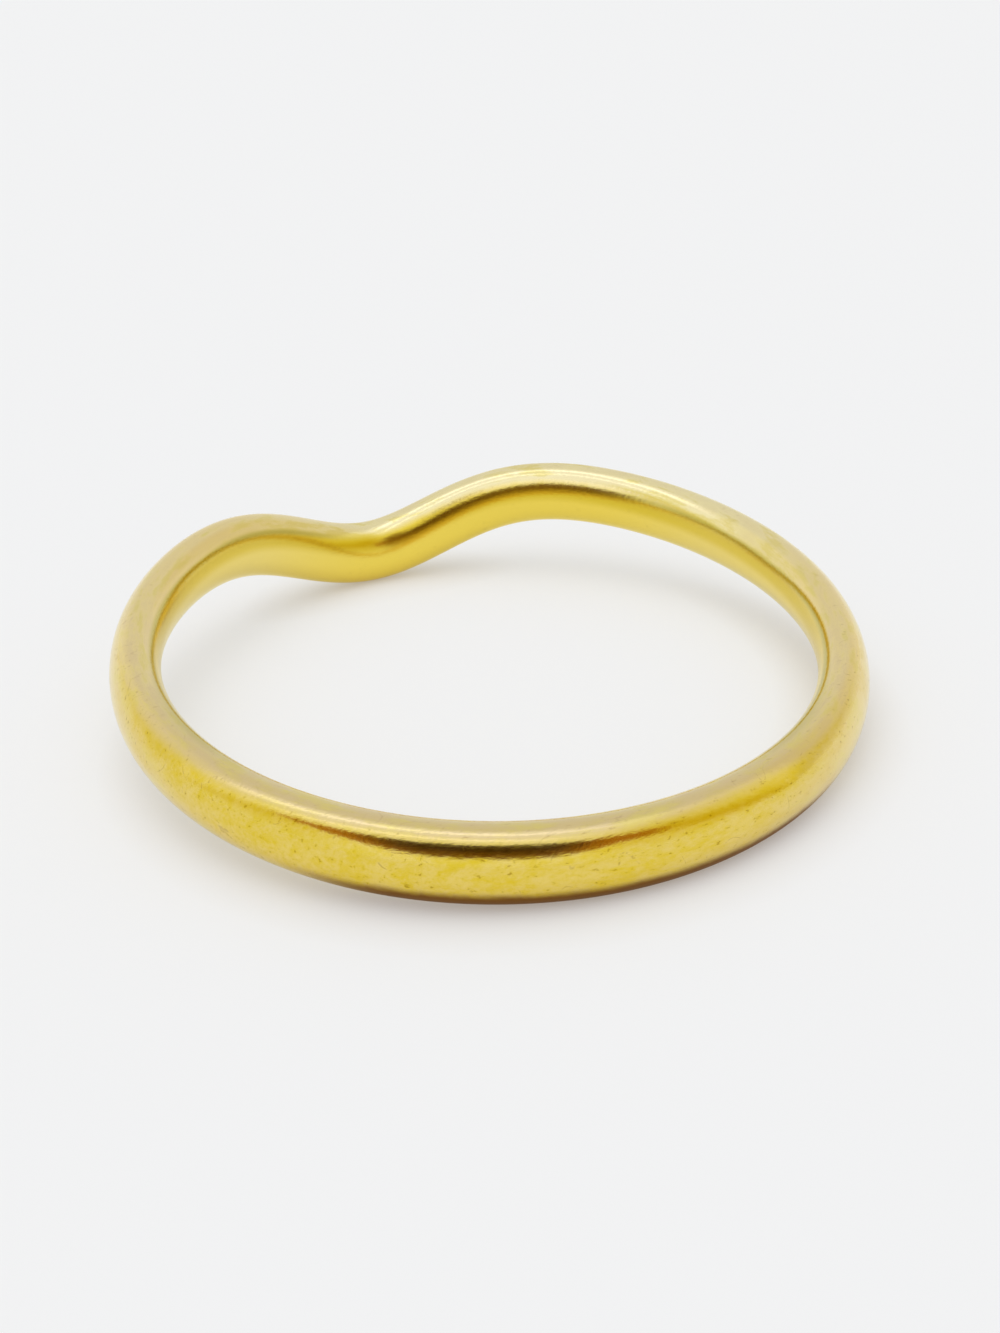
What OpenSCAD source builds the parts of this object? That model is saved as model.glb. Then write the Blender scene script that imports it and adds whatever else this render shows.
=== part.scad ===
// Curved wedding band, lying on its side as it rests by itself.
// A slim oval section runs round a circle. On one side the band dips, as it does to curve
// round the stone of an engagement ring, between two soft shoulders.
// The band rests on the bottom of the dip, which faces +Y, and on the shank opposite.
// The surface it lies on is z = 0, and the origin is below the middle of its outline.

/* [Ring] */
// Inside diameter of the shank: 17.3 is US ring size 7
inside_d = 17.3; // [14:0.1:22]
// Width of the band, along the finger
band_w = 1.9; // [1.5:0.1:3]
// Thickness of the band, from its inside to its outside
band_t = 1.3; // [0.9:0.05:2]
// Lean of the section in degrees at the sides of the ring, its upper edge inwards
lean = 9; // [0:1:15]
// How many degrees more the section leans in the middle of the shank, and less towards the dip
lean_swing = 6; // [0:1:10]

/* [Curve] */
// How far the bottom of the dip falls
dip_fall = 2.05; // [0.5:0.05:3]
// Angle from the middle of the dip at which a third of the fall is left
dip_spread = 22; // [18:1:35]
// How many degrees the dip rolls the section, its upper edge outwards
dip_roll = 22; // [0:1:25]
// How far the shoulders on both sides of the dip rise
shoulder_rise = 0.2; // [0:0.05:0.6]
// Angle from the middle of the dip at which a third of the rise is left
shoulder_spread = 60; // [50:1:75]

/* [Smoothness] */
// Sections round the ring
ring_steps = 144; // [72:4:168]
// Corners of each section
section_steps = 20; // [12:2:24]

/* [Hidden] */

// Colour of polished yellow gold
gold = [0.86, 0.71, 0.37];

// Passes that find the resting tilt: each one leaves under a tenth of the error
rest_passes = 4;

// Half the depth of the section at the sides of the ring, measured towards the ring's axis
section_reach = norm([band_t / 2 * cos(lean), band_w / 2 * sin(lean)]);
// Radius of the circle that the middle of the section follows
ring_r = inside_d / 2 + section_reach;

// Angles round the ring run from -180 to 180, with 0 in the middle of the dip.
// A bell curve of such an angle: 1 in the middle of the dip, a third at the spread
function bell(angle, spread) = exp(-pow(angle / spread, 2));

// Height of the middle of the section above the plane of the shank
function wave(angle) = shoulder_rise * bell(angle, shoulder_spread) - dip_fall * bell(angle, dip_spread);

// Slope of that height along the band, as an angle
function climb(angle) = atan2(wave(angle + 0.5) - wave(angle - 0.5), ring_r * PI / 180);

// Turn of the section: its lean, which swings once round the ring, less the roll of the dip
function roll(angle) = lean - lean_swing * cos(angle) - dip_roll * bell(angle, dip_spread);

// A point of the oval section: how far outwards and how far up it lies from the section's middle
function section_point(corner, tilt) =
    let (across = band_t / 2 * cos(corner), up = band_w / 2 * sin(corner))
    [across * cos(tilt) - up * sin(tilt), across * sin(tilt) + up * cos(tilt)];

// The same point in space, with the section square to the band's path
function band_point(angle, corner) =
    let (p = section_point(corner, roll(angle)), out = ring_r + p[0], lag = p[1] * sin(climb(angle)))
    [
        out * sin(angle) - lag * cos(angle),
        out * cos(angle) + lag * sin(angle),
        wave(angle) + p[1] * cos(climb(angle))
    ];

// Every point of the surface with the shank level, section by section from the middle of the shank
level_points = [
    for (i = [0 : ring_steps - 1], j = [0 : section_steps - 1])
        band_point(360 * i / ring_steps - 180, 360 * j / section_steps)
    ];

// Turned about X, which lifts the side of the dip
function tipped(p, tilt) = [p[0], p[1] * cos(tilt) - p[2] * sin(tilt), p[1] * sin(tilt) + p[2] * cos(tilt)];

// The lowest point of one side of the ring: side is 1 for the dip's and -1 for the shank's
function lowest(side, tilt) = min([for (p = level_points) if (p[1] * side > 0) tipped(p, tilt)[2]]);

// The tilt at which both sides touch the surface, nearer with each pass
function resting_tilt(tilt, passes) = passes == 0 ? tilt :
    resting_tilt(tilt + atan2(lowest(-1, tilt) - lowest(1, tilt), 2 * ring_r), passes - 1);

rest_tilt = resting_tilt(0, rest_passes);
rest_points = [for (p = level_points) tipped(p, rest_tilt)];
floor_z = min([for (p = rest_points) p[2]]);
middle_y = (min([for (p = rest_points) p[1]]) + max([for (p = rest_points) p[1]])) / 2;

// Two triangles for each step along the band and round its section
band_faces = [
    for (i = [0 : ring_steps - 1], j = [0 : section_steps - 1])
        let (
            next_i = (i + 1) % ring_steps,
            next_j = (j + 1) % section_steps,
            a = i * section_steps + j,
            b = i * section_steps + next_j,
            c = next_i * section_steps + next_j,
            d = next_i * section_steps + j
        )
        for (face = [[a, c, b], [a, d, c]]) face
    ];

module band() {
    color(gold)
    translate([0, -middle_y, -floor_z])
    polyhedron(points = rest_points, faces = band_faces, convexity = 6);
}

band();
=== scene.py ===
from math import atan2, cos, degrees, radians, sin
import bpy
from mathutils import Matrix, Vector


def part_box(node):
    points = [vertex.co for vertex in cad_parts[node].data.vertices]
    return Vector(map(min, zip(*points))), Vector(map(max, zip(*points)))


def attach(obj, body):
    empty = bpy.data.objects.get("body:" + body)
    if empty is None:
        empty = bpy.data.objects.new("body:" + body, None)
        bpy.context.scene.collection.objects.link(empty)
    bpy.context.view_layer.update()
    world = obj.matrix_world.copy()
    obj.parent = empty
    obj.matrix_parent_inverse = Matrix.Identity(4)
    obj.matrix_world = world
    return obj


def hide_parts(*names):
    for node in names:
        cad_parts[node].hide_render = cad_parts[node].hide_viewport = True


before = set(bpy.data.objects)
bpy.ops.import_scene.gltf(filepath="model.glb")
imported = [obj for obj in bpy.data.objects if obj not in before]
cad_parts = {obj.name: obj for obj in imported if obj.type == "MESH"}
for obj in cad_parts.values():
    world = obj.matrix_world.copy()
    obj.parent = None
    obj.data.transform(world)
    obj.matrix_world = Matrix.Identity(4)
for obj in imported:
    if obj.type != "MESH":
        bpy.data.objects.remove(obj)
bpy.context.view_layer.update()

from types import SimpleNamespace

import bpy
import numpy as np
from mathutils import Matrix, Vector

print("Frame loaded: nodes", list(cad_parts))

millimetre = 0.001
halfTurn = 180       # degrees
noiseMiddle = 0.5    # a noise runs from 0 to 1


# Shader maths

# A node's output or a plain number, so that shader maths reads like Python
class Socket:
    def __init__(self, tree, value):
        self.tree, self.value = tree, value

    def math(self, operation, *others):
        return self.tree.node("ShaderNodeMath", {"operation": operation}, dict(enumerate((self, *others))))[0]

    def __add__(self, other):
        return self.math("ADD", other)

    def __sub__(self, other):
        return self.math("SUBTRACT", other)

    def __mul__(self, other):
        return self.math("MULTIPLY", other)

    def __truediv__(self, other):
        return self.math("DIVIDE", other)

    def __pow__(self, other):
        return self.math("POWER", other)

    def __radd__(self, other):
        return self + other

    def __rsub__(self, other):
        return Socket(self.tree, other) - self

    def __rmul__(self, other):
        return self * other

    # 0 at low, 1 at high and a smooth step between them; low may be the higher of the two
    def step(self, low, high):
        rising = self.tree.node("ShaderNodeMapRange", {"interpolation_type": "SMOOTHSTEP"}, {
            "Value": self, "From Min": min(low, high), "From Max": max(low, high)})["Result"]
        return rising if high > low else 1 - rising


# A node's outputs, by name or number
class Outputs:
    def __init__(self, tree, made):
        self.tree, self.made = tree, made

    def __getitem__(self, name):
        return Socket(self.tree, self.made.outputs[name])


# A node tree that nodes are added to
class Tree:
    def __init__(self, owner):
        owner.use_nodes = True
        self.nodes, self.links = owner.node_tree.nodes, owner.node_tree.links
        self.nodes.clear()

    # One node: its settings first, among them a ramp's stops, then the values or links of its sockets,
    # by name or number. A plain colour gets its alpha here
    def node(self, kind, settings=None, sockets=None):
        made = self.nodes.new(kind)
        for name, value in (settings or {}).items():
            if name == "stops":
                self.setStops(made.color_ramp, value)
            else:
                setattr(made, name, value)
        for name, value in (sockets or {}).items():
            value = value.value if isinstance(value, Socket) else value
            if isinstance(value, bpy.types.NodeSocket):
                self.links.new(value, made.inputs[name])
            elif made.inputs[name].type == "RGBA":
                made.inputs[name].default_value = (*value, 1)
            else:
                made.inputs[name].default_value = value
        return Outputs(self, made)

    def setStops(self, ramp, stops):
        while len(ramp.elements) < len(stops):
            ramp.elements.new(1.0)
        for element, (position, colour) in zip(ramp.elements, stops):
            element.position = position
            element.color = (*colour, 1)

    # The first colour where amount is 0 and the second where it is 1. A Mix node has sockets for each
    # kind of value: 6 and 7 take its colours and 2 gives the mixed one
    def mixColours(self, amount, first, second):
        return self.node("ShaderNodeMix", {"data_type": "RGBA"}, {0: amount, 6: first, 7: second})[2]

    def noise(self, vector, scale, detail=2, roughness=0.5, distortion=0.0):
        return self.node("ShaderNodeTexNoise", {}, {
            "Vector": vector, "Scale": scale, "Detail": detail, "Roughness": roughness,
            "Distortion": distortion})["Fac"]

    def attribute(self, name, output="Vector"):
        return self.node("ShaderNodeAttribute", {"attribute_name": name})[output]

    def vectorMath(self, operation, first, second):
        return self.node("ShaderNodeVectorMath", {"operation": operation}, {0: first, 1: second})

    def scaled(self, vector, factors):
        return self.vectorMath("MULTIPLY", vector, factors)["Vector"]

    # How far a vector goes along a plain direction: their dot product
    def along(self, vector, direction):
        return self.vectorMath("DOT_PRODUCT", vector, direction)["Value"]

    # A vector's X, Y and Z
    def parts(self, vector):
        return self.node("ShaderNodeSeparateXYZ", {}, {"Vector": vector})

    def glow(self, colour, strength=1.0):
        return self.node("ShaderNodeEmission", {}, {"Color": colour, "Strength": strength})["Emission"]


# Goes from the first value to the second as amount goes from 0 to 1
def between(first, second, amount):
    return first + (second - first) * amount


# Meshes

# An object at the origin whose mesh is a grid of points with four-sided faces. A closed grid's two
# ways both run round and meet themselves
def makeGrid(name, points, closed=False):
    columns, rows = points.shape[:2]
    i, j = np.meshgrid(np.arange(columns if closed else columns - 1),
                       np.arange(rows if closed else rows - 1), indexing="ij")
    nextI, nextJ = (i + 1) % columns, (j + 1) % rows
    faces = np.stack([i * rows + j, nextI * rows + j, nextI * rows + nextJ, i * rows + nextJ], axis=-1)
    mesh = bpy.data.meshes.new(name)
    mesh.from_pydata(points.reshape(-1, 3), [], faces.reshape(-1, 4))
    mesh.shade_smooth()
    piece = bpy.data.objects.new(name, mesh)
    bpy.context.scene.collection.objects.link(piece)
    return piece


# Keeps a number or a vector for each point of a grid, which a material reads by its name
def keepAttribute(piece, name, values):
    kind, key = ("FLOAT_VECTOR", "vector") if values.ndim == 3 else ("FLOAT", "value")
    attribute = piece.data.attributes.new(name, kind, "POINT")
    attribute.data.foreach_set(key, values.astype(np.float32).ravel())


# The band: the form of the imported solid, with a fine surface

bandForm = {
    "insideDiameter": 17.3 * millimetre,
    "width": 1.9 * millimetre,
    "thickness": 1.3 * millimetre,
    "lean": 9,               # degrees at the sides, the upper edge inwards
    "leanSwing": 6,          # degrees more in the middle of the shank, and less towards the dip
    "dipFall": 2.05 * millimetre,
    "dipSpread": 22,         # degrees
    "dipRoll": 22,           # degrees, the upper edge outwards
    "shoulderRise": 0.2 * millimetre,
    "shoulderSpread": 60,    # degrees
    "rounds": 1200,          # steps round the ring
    "corners": 72,           # steps round the section
    "restPasses": 4,         # each leaves under a tenth of the error in the resting tilt
    "patternRadius": 3.5,    # radius of the ring that patches are drawn on, in halves of its section
}


# A bell curve: e to the power of minus the square of the angle over its spread
def bell(angle, spread):
    return np.exp(-(angle / spread) ** 2)


# Height of the middle of the band: a wide bell of the shoulders' rise less a narrow one of the dip's fall
def wave(angle, form):
    return (form["shoulderRise"] * bell(angle, form["shoulderSpread"])
            - form["dipFall"] * bell(angle, form["dipSpread"]))


# A point of the band for an angle round the ring and one round the section, both in degrees and as
# arrays: an ellipse, turned by the roll, set square to a path that circles the finger and follows the
# wave, whose slope is taken over one degree. The angle round the ring is 0 in the middle of the dip
# and 90 at +X
def bandSurface(angle, corner, form):
    lean = radians(form["lean"])
    reach = np.hypot(form["thickness"] / 2 * cos(lean), form["width"] / 2 * sin(lean))
    ringRadius = form["insideDiameter"] / 2 + reach
    turn = np.radians(angle)
    roll = np.radians(form["lean"] - form["leanSwing"] * np.cos(turn)
                      - form["dipRoll"] * bell(angle, form["dipSpread"]))
    climb = np.arctan2(wave(angle + 0.5, form) - wave(angle - 0.5, form), ringRadius * radians(1))
    across = form["thickness"] / 2 * np.cos(np.radians(corner))
    up = form["width"] / 2 * np.sin(np.radians(corner))
    out = ringRadius + across * np.cos(roll) - up * np.sin(roll)
    height = across * np.sin(roll) + up * np.cos(roll)
    lag = height * np.sin(climb)
    points = np.stack([out * np.sin(turn) - lag * np.cos(turn),
                       out * np.cos(turn) + lag * np.sin(turn),
                       wave(angle, form) + height * np.cos(climb)], axis=-1)
    return points, ringRadius


# Turns points about X by an angle in radians
def tipped(points, tilt):
    x, y, z = np.moveaxis(points, -1, 0)
    return np.stack([x, y * np.cos(tilt) - z * np.sin(tilt), y * np.sin(tilt) + z * np.cos(tilt)], axis=-1)


# Lays the band on the floor: each pass tips it by the slope between its two lowest points, one on each
# side, taken as a ring's diameter apart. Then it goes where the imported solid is
def atRest(points, ringRadius, form):
    tilt = 0.0
    dipSide = points[..., 1] > 0
    for _ in range(form["restPasses"]):
        height = tipped(points, tilt)[..., 2]
        tilt += atan2(height[~dipSide].min() - height[dipSide].min(), 2 * ringRadius)
    points = tipped(points, tilt)
    low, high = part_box("band")
    y, z = points[..., 1], points[..., 2]
    points[..., 1] += (low[1] + high[1]) / 2 - (y.min() + y.max()) / 2
    points[..., 2] += low[2] - z.min()
    return points


# The band with what its finish reads: where a point lies round the ring and round the section, as
# cosines and sines so that no seam shows. Thick ring is the same point on a ring with a thicker
# section, so that round patches there are drawn out along the real band
def makeBand(form):
    angle, corner = np.meshgrid(np.linspace(-halfTurn, halfTurn, form["rounds"], endpoint=False),
                                np.linspace(0, 2 * halfTurn, form["corners"], endpoint=False), indexing="ij")
    points, ringRadius = bandSurface(angle, corner, form)
    band = makeGrid("band_of_gold", atRest(points, ringRadius, form), closed=True)
    ringCosine, ringSine = np.cos(np.radians(angle)), np.sin(np.radians(angle))
    out, up = np.cos(np.radians(corner)), np.sin(np.radians(corner))
    radius = form["patternRadius"] + out
    keepAttribute(band, "ringWay", np.stack([ringCosine, ringSine, out], axis=-1))
    keepAttribute(band, "sectionUp", up)
    keepAttribute(band, "thickRing", np.stack([radius * ringCosine, radius * ringSine, up], axis=-1))
    return band


band = makeBand(bandForm)
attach(band, "root")
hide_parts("band")
print("Band made:", len(band.data.polygons), "faces")


# Gold

# A place is an angle round the ring in degrees, and nearness to it is the cosine of the angle from it.
# Height and out are on the section, from -1 to 1: bottom to top, and inwards to outwards. Except for
# innerBorder, a pair gives a smooth step: the value where it is 0, then the one where it is 1
goldFinish = {
    # Colours of the faces
    "lemon": (0.79, 0.585, 0.035),      # the outer face where its plating is thick
    "straw": (0.845, 0.65, 0.165),      # the outer face where its plating is thin
    "inner": (0.89, 0.69, 0.105),       # the inner face behind, where the edge is rubbed inwards
    "innerWorn": (0.88, 0.71, 0.20),    # the rest of the inner face
    "deep": (0.72, 0.53, 0.03),         # a stripe along the inner face
    "yellowStep": (0.34, 0.66),         # from lemon to straw, on clouds and grain
    "cloudShare": 0.6,                  # share of the clouds in that, and the rest is grain
    "outerStep": (-0.3, 0.3),           # from the inner to the outer face, on out
    "innerWornStep": (0.95, 0.6),       # on nearness to the inwards place
    "stripeHeight": 0.3,                # height of its middle
    "stripeStep": (0.4, 0.05),          # on the height above or below it
    "stripeBehind": 0.8,                # strength of the stripe behind
    "stripeAround": 0.65,               # its strength elsewhere

    # Colours of what is rubbed, with a painted highlight and a painted reflection among them
    "pale": (0.91, 0.74, 0.36),         # the upper edge, and the outer face at the sides and behind
    "paleFront": (0.78, 0.625, 0.27),   # that edge in front, on its outer half
    "paleTop": (0.85, 0.72, 0.41),      # that edge in front, on its inner half
    "palest": (0.95, 0.84, 0.49),       # that edge beside the dip
    "pink": (0.79, 0.62, 0.37),         # blush on all of these
    "green": (0.83, 0.69, 0.23),        # that edge beside the dip, paler still: the rubbed edge with a painted highlight on it
    "olive": (0.56, 0.475, 0.11),       # a painted reflection: a line along the edge's inner border
    "topStep": (0.35, 0.0),             # from the outer to the inner half of the edge, on out
    "frontStep": (0.2, 0.85),           # on nearness to the whole place
    "palestStep": (0.3, 0.85),          # on nearness to the place of the painted highlight
    "pinkPatchStep": (0.45, 0.60),
    "pinkPatches": 0.5,                 # strength
    "pinkLineStep": (0.45, 0.7),
    "pinkLines": 0.3,                   # strength
    "pinkClouds": 0.9,                  # strength
    "pinkBehind": 0.35,                 # share of the blush that is left at the back
    "pinkStep": (-0.4, 0.8),            # on nearness to the whole place
    "greenStep": (0.50, 0.36),
    "greenPatches": 0.7,                # strength

    # Where it is rubbed, and where the painted highlight and the painted reflection line lie
    "wholePlace": 207,                  # the middle of the stretch whose outer face is not rubbed
    "palestPlace": 35,
    "inwardsPlace": 23,                 # where the edge is rubbed furthest inwards, and the painted reflection line runs lowest
    "sideStep": (0.9, 0.4),             # from whole to rubbed, on nearness to the whole place
    "sideSlant": 0.3,                   # how much further round the top keeps its colour
    "sidePatchStep": (0.40, 0.65),
    "sidePatches": 0.5,                 # strength of the patches that are left there
    "outerBorder": 0.73,                # height of the edge's border on the outer face
    "innerBorder": (0.62, 0.84),        # least and greatest height of its border on the inner face
    "borderWander": 0.15,               # how far clouds move these borders
    "borderStep": (-0.16, 0.14),        # on the height above the border
    "rimHeight": 0.72,                  # mean height of the olive line, a painted reflection
    "rimSwing": 0.4,                    # how much lower it is at the inwards place
    "rimLowest": 0.56,
    "rimStep": (0.14, 0.0),             # on the height above or below the line
    "rimStart": (-0.9, -0.6),           # where the line begins, on nearness to the inwards place
    "rimEnd": (0.95, 0.7),              # where it ends
    "rim": 0.85,                        # strength of the painted reflection line

    # Painted contact shade low on the outer face in front, where the band meets the floor, and patina in
    # specks, streaks and hairs
    "patina": (0.23, 0.094, 0.003),
    "patinaPlace": 188,
    "patinaReach": (0.68, 0.88),        # on nearness to that place
    "patinaStep": (0.72, 0.94),         # on the depth below the section's middle
    "patinaSlant": 0.3,                 # how much higher it reaches further out
    "patinaWander": 0.14,               # how far clouds move its border
    "speckStep": (0.39, 0.26),
    "specks": 0.45,                     # strength
    "sideSpecks": 0.3,                  # strength added where the side is rubbed
    "streakStep": (0.30, 0.24),
    "streaks": 0.25,                    # strength
    "hairs": 0.3,                       # strength
    "marksInside": 0.2,                 # share of these marks on the inner face
    "marksRubbed": 0.4,                 # share of them on the rubbed edge

    # Sizes of the noises
    "cloudSize": 0.45 * millimetre,
    "grainSize": 0.1 * millimetre,
    "squeeze": 0.45,                    # scale of their X, which draws clouds and grain out that way
    "patchCount": 2.0,                  # patches across half of the section
    "hairSpan": 1.5 * millimetre,       # room between the fine curved marks
    "hairStep": (0.008, 0.002),         # on how far the noise is from its middle
    "hairCloudStep": (0.52, 0.6),       # hairs show only in such clouds
    "streakCount": (260, 260, 1.5),     # fine streaks across the band
    "lineCount": (3, 3, 40),            # lines along the band

    # Shine
    "polish": 0.11,                     # roughness of the rubbed edge
    "satin": 0.16,                      # roughness of the outer face
    "innerSatin": 0.20,                 # roughness of the inner face
    "dull": 0.5,                        # roughness of the painted contact shade low in front
    "roughLines": 0.05,                 # swing of the roughness from line to line
    "grazing": (1.0, 1.0, 0.96),        # tint of what it mirrors at a flat angle
    "dentDepth": 0.003 * millimetre,
    # How far each kind of mark raises the surface, in dent depths
    "dents": {"grain": 1.2, "clouds": 0.4, "streaks": 0.2, "lines": 0.15, "hairs": -0.15},
}


# Where a point lies: its height and how far out on the section, and its nearness to the places
def goldPlaces(tree, finish):
    way = tree.attribute("ringWay")

    def nearness(place):
        turn = radians(finish[place])
        return tree.along(way, (cos(turn), sin(turn), 0))

    return SimpleNamespace(
        way=way, up=tree.attribute("sectionUp", "Fac"), out=tree.parts(way)["Z"],
        whole=nearness("wholePlace"), palest=nearness("palestPlace"),
        inwards=nearness("inwardsPlace"), patina=nearness("patinaPlace"))


# The noises that the finish is made of. The squeezed X draws clouds and grain out along the front and
# the back, which run nearly that way. Hairs are where a slow noise passes its middle
def goldMarks(tree, finish, place):
    position = tree.node("ShaderNodeTexCoord")["Object"]
    squeezed = tree.scaled(position, (finish["squeeze"], 1, 1))
    clouds = tree.noise(squeezed, 1 / finish["cloudSize"], detail=5, roughness=0.7, distortion=0.4)
    slow = tree.noise(position, 1 / finish["hairSpan"], detail=1, distortion=0.8)
    hairs = (slow - noiseMiddle).math("ABSOLUTE").step(*finish["hairStep"])
    hairs = hairs * clouds.step(*finish["hairCloudStep"])
    return SimpleNamespace(
        clouds=clouds, hairs=hairs,
        grain=tree.noise(squeezed, 1 / finish["grainSize"], detail=3, roughness=0.6),
        patches=tree.noise(tree.attribute("thickRing"), finish["patchCount"], detail=5, roughness=0.62),
        streaks=tree.noise(tree.scaled(place.way, finish["streakCount"]), 1, detail=2, roughness=0.7),
        lines=tree.noise(tree.scaled(place.way, finish["lineCount"]), 1, detail=3))


# From 0 to 1, whether a point is on the outer face, how far each kind of wear goes there, and where two
# marks of painted light lie: the olive line, a painted reflection, and the low band in front, painted
# contact shade. The edge is rubbed above a border that runs level outside and swings up and down inside,
# and the outer face is rubbed away from its whole place
def goldWearAndShade(finish, place, marks):
    outer = place.out.step(*finish["outerStep"])
    side = (place.whole + place.up * finish["sideSlant"]).step(*finish["sideStep"]) * outer
    rimLine = finish["rimHeight"] - finish["rimSwing"] * place.inwards
    rimLine = rimLine.math("MAXIMUM", finish["rimLowest"])
    lowest, highest = finish["innerBorder"]
    border = between(rimLine.math("MAXIMUM", lowest).math("MINIMUM", highest), finish["outerBorder"], outer)
    wander = marks.clouds - noiseMiddle
    edge = (place.up - border - wander * finish["borderWander"]).step(*finish["borderStep"])
    left = marks.patches.step(*finish["sidePatchStep"]) * finish["sidePatches"]
    # Painted reflection: the olive line, which runs lowest at the inwards place
    rim = (place.up - rimLine).math("ABSOLUTE").step(*finish["rimStep"]) * (1 - outer)
    # Painted contact shade: the low band in front, darkest near where the band meets the floor
    low = place.out * finish["patinaSlant"] - place.up + wander * finish["patinaWander"]
    return SimpleNamespace(
        outer=outer, side=side, rubbed=edge.math("MAXIMUM", side * (1 - left)),
        rim=rim * place.inwards.step(*finish["rimStart"]) * place.inwards.step(*finish["rimEnd"]),
        low=low.step(*finish["patinaStep"]) * place.patina.step(*finish["patinaReach"]))


# The yellow of both faces where they aren't rubbed
def faceColour(tree, finish, place, marks, wearAndShade):
    yellows = between(marks.grain, marks.clouds, finish["cloudShare"]).step(*finish["yellowStep"])
    outside = tree.mixColours(yellows, finish["lemon"], finish["straw"])
    worn = place.inwards.step(*finish["innerWornStep"])
    inside = tree.mixColours(worn, finish["inner"], finish["innerWorn"])
    stripe = (place.up - finish["stripeHeight"]).math("ABSOLUTE").step(*finish["stripeStep"])
    stripe = stripe * between(finish["stripeBehind"], finish["stripeAround"], worn)
    inside = tree.mixColours(stripe, inside, finish["deep"])
    return tree.mixColours(wearAndShade.outer, inside, outside)


# The pale gold of the edge and sides where they are rubbed, with a pink blush, green patches and a painted
# highlight beside the dip
def rubbedColour(tree, finish, place, marks):
    front = tree.mixColours(place.out.step(*finish["topStep"]), finish["paleFront"], finish["paleTop"])
    colour = tree.mixColours(place.whole.step(*finish["frontStep"]), finish["pale"], front)
    # Painted highlight: the edge beside the dip is made paler, for the bright light it mirrors there
    colour = tree.mixColours(place.palest.step(*finish["palestStep"]), colour, finish["palest"])
    blush = (marks.patches.step(*finish["pinkPatchStep"]) * finish["pinkPatches"]
             + marks.lines.step(*finish["pinkLineStep"]) * finish["pinkLines"]
             + (marks.clouds - noiseMiddle) * finish["pinkClouds"])
    blush = blush.math("MAXIMUM", 0) * between(finish["pinkBehind"], 1, place.whole.step(*finish["pinkStep"]))
    colour = tree.mixColours(blush, colour, finish["pink"])
    return tree.mixColours(marks.patches.step(*finish["greenStep"]) * finish["greenPatches"],
                           colour, finish["green"])


# How much of the dark brown covers a point: all of the low band in front, which is painted contact shade, and
# elsewhere patina in specks, streaks and hairs
def patinaAndShadeCover(finish, marks, wearAndShade):
    cover = (marks.grain.step(*finish["speckStep"]) * (finish["specks"] + finish["sideSpecks"] * wearAndShade.side)
             + marks.streaks.step(*finish["streakStep"]) * finish["streaks"] + marks.hairs * finish["hairs"])
    cover = cover * between(finish["marksInside"], 1, wearAndShade.outer)
    cover = cover * between(1, finish["marksRubbed"], wearAndShade.rubbed)
    return cover.math("MAXIMUM", wearAndShade.low)


# Gold with a worn finish: yellow faces, a rubbed edge, an olive line along its border that is a painted
# reflection, patina, and painted contact shade low in front
def makeGold(finish):
    material = bpy.data.materials.new("worn_gold")
    tree = Tree(material)
    place = goldPlaces(tree, finish)
    marks = goldMarks(tree, finish, place)
    wearAndShade = goldWearAndShade(finish, place, marks)
    colour = tree.mixColours(wearAndShade.rubbed, faceColour(tree, finish, place, marks, wearAndShade),
                             rubbedColour(tree, finish, place, marks))
    # Painted reflection: the olive line along the edge's inner border
    colour = tree.mixColours(wearAndShade.rim * finish["rim"], colour, finish["olive"])
    # Patina in specks, streaks and hairs, and painted contact shade low in front
    colour = tree.mixColours(patinaAndShadeCover(finish, marks, wearAndShade), colour, finish["patina"])
    roughness = between(finish["innerSatin"], finish["satin"], wearAndShade.outer)
    roughness = between(roughness, finish["polish"], wearAndShade.rubbed)
    roughness = roughness + (marks.lines - noiseMiddle) * finish["roughLines"]
    roughness = between(roughness, finish["dull"], wearAndShade.low)
    dents = sum(vars(marks)[name] * depth for name, depth in finish["dents"].items())
    bump = tree.node("ShaderNodeBump", {}, {
        "Strength": 1.0, "Distance": finish["dentDepth"], "Height": dents})["Normal"]
    shader = tree.node("ShaderNodeBsdfPrincipled", {}, {
        "Base Color": colour, "Metallic": 1.0, "Roughness": roughness,
        "Specular Tint": finish["grazing"], "Normal": bump})["BSDF"]
    tree.node("ShaderNodeOutputMaterial", {}, {"Surface": shader})
    return material


band.data.materials.append(makeGold(goldFinish))
print("Gold made")


# Floor: white paper

paper = {
    "side": 2.0,                     # metres
    "colour": (0.49, 0.494, 0.50),
    "glow": 0.41,                    # painted light: the paper glows, which softens the shadows
    "contact": 1.5 * millimetre,     # how near the band that glow fades, as a painted contact shadow
    # The painted contact shadow's warm colour, which the glow turns to next to the band
    "contactColour": (0.74, 0.66, 0.57),
    "contactSamples": 2,
}


# A flat square, as a grid of two points by two
def makeFloor(values):
    ends = (-values["side"] / 2, values["side"] / 2)
    x, y = np.meshgrid(ends, ends, indexing="ij")
    floor = makeGrid("floor", np.stack([x, y, np.zeros_like(x)], axis=-1))
    material = bpy.data.materials.new("pale_paper")
    tree = Tree(material)
    matt = tree.node("ShaderNodeBsdfDiffuse", {}, {"Color": values["colour"]})["BSDF"]
    # Painted contact shadow: ambient occlusion fades the glow to a warm shade near the band
    openness = tree.node("ShaderNodeAmbientOcclusion", {"samples": values["contactSamples"]},
                         {"Distance": values["contact"]})["AO"]
    glow = tree.glow(tree.mixColours(openness, values["contactColour"], (1, 1, 1)), values["glow"])
    both = tree.node("ShaderNodeAddShader", {}, {0: matt, 1: glow})["Shader"]
    tree.node("ShaderNodeOutputMaterial", {}, {"Surface": both})
    floor.data.materials.append(material)


# Camera: the photograph's angle

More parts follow.
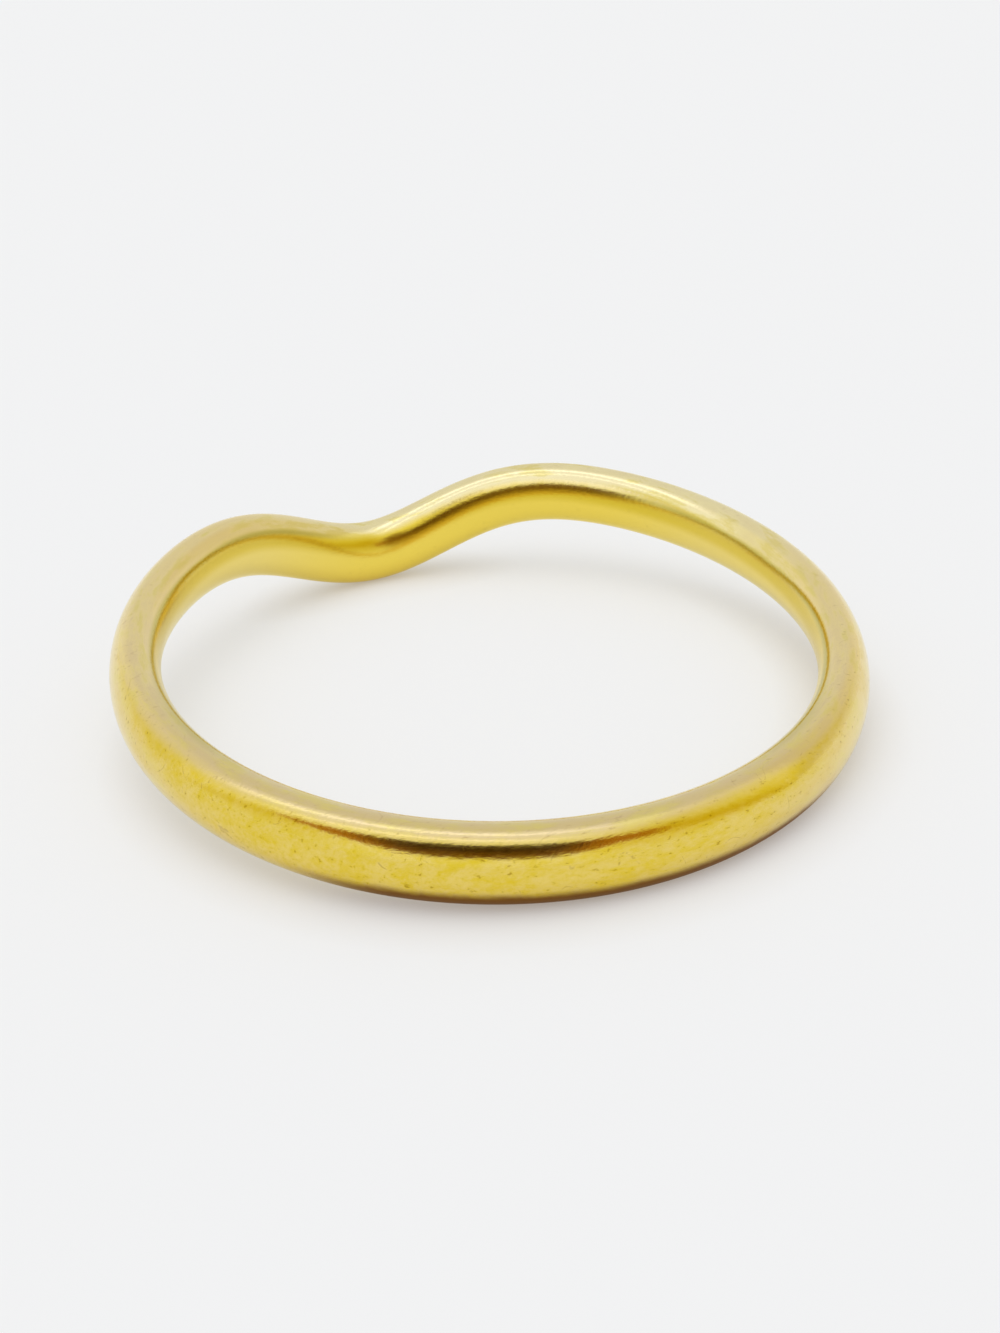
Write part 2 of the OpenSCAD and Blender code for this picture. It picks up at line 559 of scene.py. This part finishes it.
cameraView = {
    "place": (-14.916 * millimetre, -34.626 * millimetre, 20.319 * millimetre),
    "aim": (1.045 * millimetre, 1.708 * millimetre, 0.0),
    "roll": -1.816,                  # degrees, its right side down
    "focal": 1565.9,                 # in pixels of a picture 1000 wide and 1333 high
    "pictureHeight": 1333,
    "sensor": 36,                    # millimetres, along the picture's long side
    "near": 0.001,                   # metres
    "far": 10,                       # metres
}


# Looks from its place to its aim, and is then rolled
def makeCamera(values):
    place, aim = Vector(values["place"]), Vector(values["aim"])
    lens = bpy.data.cameras.new("camera")
    lens.sensor_fit = "AUTO"
    lens.sensor_width = values["sensor"]
    lens.lens = values["focal"] * values["sensor"] / values["pictureHeight"]
    lens.clip_start, lens.clip_end = values["near"], values["far"]
    camera = bpy.data.objects.new("camera", lens)
    turn = (aim - place).to_track_quat("-Z", "Y").to_matrix()
    turn = turn @ Matrix.Rotation(radians(values["roll"]), 3, "Z")
    camera.matrix_world = Matrix.Translation(place) @ turn.to_4x4()
    bpy.context.scene.collection.objects.link(camera)
    bpy.context.scene.camera = camera
    return camera


# Light: a soft dome with a key light for the floor, and a room for the gold to mirror. The room has a
# list for its left, middle and right: the colour at each rise, which is the angle from the horizon in
# front of the ring over the top to the one behind it
sky = {
    "light": (1.0, 1.0, 1.0),
    "dome": 0.60,                    # strength all round
    "backdrop": 0.87,                # strength that the camera sees past the floor
    "key": 1.90,                     # added strength towards the key light
    "keyWay": (-0.15, -0.03, 0.99),
    "keyFocus": 8,                   # a higher power draws the key light together
    "front": -155,                   # the way from the ring to the room's front, degrees clockwise from +Y
    "left": [
        (0, (0.90, 0.92, 0.95)),
        (30, (0.86, 0.84, 0.60)),
        (42, (0.78, 0.72, 0.28)),
        (52, (0.86, 0.84, 0.55)),
        (60, (0.93, 0.94, 0.90)),
        (90, (0.93, 0.93, 0.90)),
        (98, (0.86, 0.85, 0.72)),
        (150, (0.84, 0.83, 0.70)),
        (180, (0.90, 0.90, 0.88)),
    ],
    "middle": [
        (0, (0.92, 0.94, 0.98)),
        (20, (0.98, 1.00, 1.02)),
        (90, (0.97, 0.98, 1.00)),
        (98, (0.78, 0.78, 0.74)),
        (150, (0.76, 0.76, 0.74)),
        (180, (0.82, 0.82, 0.82)),
    ],
    "right": [
        (0, (0.90, 0.92, 1.00)),
        (28, (0.84, 0.79, 0.58)),
        (40, (0.69, 0.56, 0.04)),
        (52, (0.72, 0.62, 0.10)),
        (66, (0.84, 0.80, 0.38)),
        (88, (0.90, 0.87, 0.62)),
        (100, (0.90, 0.88, 0.66)),
        (112, (0.75, 0.71, 0.54)),
        (150, (0.75, 0.71, 0.57)),
        (180, (0.86, 0.84, 0.78)),
    ],
    "rightToMiddle": (-44, -18),     # a smooth step between two walls, degrees to the left
    "middleToLeft": (25, 48),        # likewise
    "lamps": [(61, 2), (82, 4)],     # rise and half breadth of each bright strip, degrees
    "lampBlur": (1.5, 0.5),          # where a strip ends and where it is whole, in half breadths
    "lampMiddle": 15,                # degrees to the left
    "lampSide": (45, 15),            # where a strip ends and where it is whole, degrees from its middle
    "lampColour": (1.35, 1.40, 1.50),
}


# A direction has two angles: its rise, and how far it is aside to the left, as the camera sees it. The
# rise gives the colour on each wall of the room, and the angle aside blends the three walls
def makeSky(values):
    world = bpy.data.worlds.new("soft_light")
    bpy.context.scene.world = world
    tree = Tree(world)
    way = tree.node("ShaderNodeTexCoord")["Generated"]
    turn = radians(values["front"])
    forwards = tree.along(way, (sin(turn), cos(turn), 0))
    rise = tree.parts(way)["Z"].math("ARCTAN2", forwards) * degrees(1)
    aside = tree.along(way, (cos(turn), -sin(turn), 0)).math("ARCSINE") * degrees(1)

    def wall(name):
        stops = [(angle / halfTurn, colour) for angle, colour in values[name]]
        return tree.node("ShaderNodeValToRGB", {"stops": stops}, {"Fac": rise / halfTurn})["Color"]

    def background(colour, strength=1.0):
        return tree.node("ShaderNodeBackground", {}, {"Color": colour, "Strength": strength})["Background"]

    room = tree.mixColours(aside.step(*values["rightToMiddle"]), wall("right"), wall("middle"))
    room = tree.mixColours(aside.step(*values["middleToLeft"]), room, wall("left"))
    fade = (aside - values["lampMiddle"]).math("ABSOLUTE").step(*values["lampSide"])
    darkAt, brightAt = values["lampBlur"]
    for angle, half in values["lamps"]:
        strip = (rise - angle).math("ABSOLUTE").step(half * darkAt, half * brightAt) * fade
        room = tree.mixColours(strip, room, values["lampColour"])
    key = tree.along(way, Vector(values["keyWay"]).normalized()).math("MAXIMUM", 0) ** values["keyFocus"]
    rays = tree.node("ShaderNodeLightPath")
    strength = between(values["dome"] + values["key"] * key, values["backdrop"], rays["Is Camera Ray"])
    both = tree.node("ShaderNodeMixShader", {}, {
        0: rays["Is Glossy Ray"], 1: background(values["light"], strength), 2: background(room)})["Shader"]
    tree.node("ShaderNodeOutputWorld", {}, {"Surface": both})


# Cards that only the gold sees. Paint gives a card's surface from the three numbers of its spots
def makeCard(name, points, spots, paint):
    card = makeGrid(name, points)
    keepAttribute(card, "spot", np.stack(spots, axis=-1))
    card.visible_camera = card.visible_diffuse = card.visible_shadow = False
    material = bpy.data.materials.new(name)
    tree = Tree(material)
    surface = paint(tree, tree.parts(tree.attribute("spot")))
    tree.node("ShaderNodeOutputMaterial", {}, {"Surface": surface})
    card.data.materials.append(material)


# A dark flag round the camera. Lengths are from the camera, to its right and upwards
flag = {
    "ends": (-48 * millimetre, 36 * millimetre),
    "core": (-8 * millimetre, 8 * millimetre),    # the dark middle, which warms up to the ends
    "above": 9 * millimetre,
    "below": 10.5 * millimetre,
    "endRise": (2 * millimetre, 3 * millimetre),  # how much higher the upper edge is at each end
    "endHeight": (0.2, 0.5),                      # height of each end as a share of the middle's
    "behindCamera": 1 * millimetre,
    "steps": 60,
    "rows": 8,
    "dark": (0.045, 0.020, 0.008),
    "warm": (0.42, 0.17, 0.008),
    "endWarmth": (0, 0.55),                       # where it warms, from 0 at the core to 1 at the ends
    "lowerWarmth": (0.4, 1.0),                    # the same from the upper edge to the lower
    "lowerStrength": 0.4,
}


# Faces the ring from the camera's place: dark in the middle, and warm at its ends and below. It is a
# grid that runs across and down: by a smooth step from the core to the ends its upper edge rises a
# little and its height shrinks
def makeFlag(values, camera):
    (left, right), (coreLeft, coreRight) = values["ends"], values["core"]
    across, down = np.meshgrid(np.linspace(left, right, values["steps"]),
                               np.linspace(0, 1, values["rows"]), indexing="ij")
    isLeft = across < 0
    out = np.clip(np.where(isLeft, (across - coreLeft) / (left - coreLeft),
                           (across - coreRight) / (right - coreRight)), 0, 1)
    out = out * out * (3 - 2 * out)
    endHeight, endRise = np.where(isLeft, *values["endHeight"]), np.where(isLeft, *values["endRise"])
    height = (values["above"] + values["below"]) * between(1, endHeight, out)
    up = values["above"] + endRise * out - height * down
    place = np.array(camera.matrix_world)
    points = np.stack([across, up, np.full_like(across, values["behindCamera"])], axis=-1)
    points = points @ place[:3, :3].T + place[:3, 3]

    def paint(tree, spot):
        lower = spot["Y"].step(*values["lowerWarmth"]) * values["lowerStrength"]
        warmth = (spot["Z"].step(*values["endWarmth"]) + lower).math("MINIMUM", 1)
        return tree.glow(tree.mixColours(warmth, values["dark"], values["warm"]))

    makeCard("flag", points, (across, down, out), paint)


# A screen that stands inside the ring and faces its back: bright above and dark below. Lengths across
# are to the right for who stands at the ring's middle and looks the way it faces
# The screen glows, and the gold mirrors it as a painted reflection: a bright band over a dark streak on the
# inner face at the back
screen = {
    "facing": 24,                    # degrees clockwise from +Y
    "ends": (-5.2 * millimetre, 2.6 * millimetre),
    "endFade": (1.4 * millimetre, 2.6 * millimetre),
    "foot": 0.1 * millimetre,
    "height": 10 * millimetre,
    "topFade": 1.5 * millimetre,
    "border": 5.4 * millimetre,      # height of the border between bright and dark
    "borderBlur": 0.5 * millimetre,
    "bright": (1.06, 1.06, 1.03),
    "dark": (0.10, 0.035, 0.0),
    "low": (0.80, 0.62, 0.24),       # what the dark fades to at the floor
    "darkFoot": 3.3 * millimetre,    # height at which that fade begins
    "dipStep": (-2.2 * millimetre, -0.4 * millimetre),    # across, to the part that the dip mirrors
    "dipBorderRise": 3.5 * millimetre,                    # how much higher the border is in that part
    "dipFootRise": 2.2 * millimetre,
    "dipDark": (0.20, 0.09, 0.0),
    "steps": 24,
}


# An upright plane through the ring's middle: a grid that runs up from its foot and to its right. It
# shows from its face alone, and smooth steps fade it out at its ends and top
def makeScreen(values):
    turn = radians(values["facing"])
    left, right = values["ends"]
    up, across = np.meshgrid(np.linspace(values["foot"], values["height"], values["steps"]),
                             np.linspace(left, right, values["steps"]), indexing="ij")
    points = np.stack([across * cos(turn), -across * sin(turn), up], axis=-1)

    def paint(tree, spot):
        toRight, height = spot["X"], spot["Y"]
        fadeLeft, fadeRight = values["endFade"]
        forDip = toRight.step(*values["dipStep"])
        dark = tree.mixColours(forDip, values["dark"], values["dipDark"])
        foot = values["darkFoot"] + forDip * values["dipFootRise"]
        colour = tree.mixColours((height / foot).step(0, 1), values["low"], dark)
        border, blur = values["border"] + forDip * values["dipBorderRise"], values["borderBlur"]
        colour = tree.mixColours((height - border).step(-blur, blur), colour, values["bright"])
        seen = toRight.step(left, left + fadeLeft) * toRight.step(right, right - fadeRight)
        seen = seen * height.step(values["height"], values["height"] - values["topFade"])
        seen = seen * (1 - tree.node("ShaderNodeNewGeometry")["Backfacing"])
        clear = tree.node("ShaderNodeBsdfTransparent")["BSDF"]
        return tree.node("ShaderNodeMixShader", {}, {0: seen, 1: clear, 2: tree.glow(colour)})["Shader"]

    makeCard("screen", points, (across, up, np.zeros_like(up)), paint)


makeFloor(paper)
makeSky(sky)
makeFlag(flag, makeCamera(cameraView))
makeScreen(screen)
bpy.context.scene.view_settings.view_transform = "Standard"
print("Studio made")
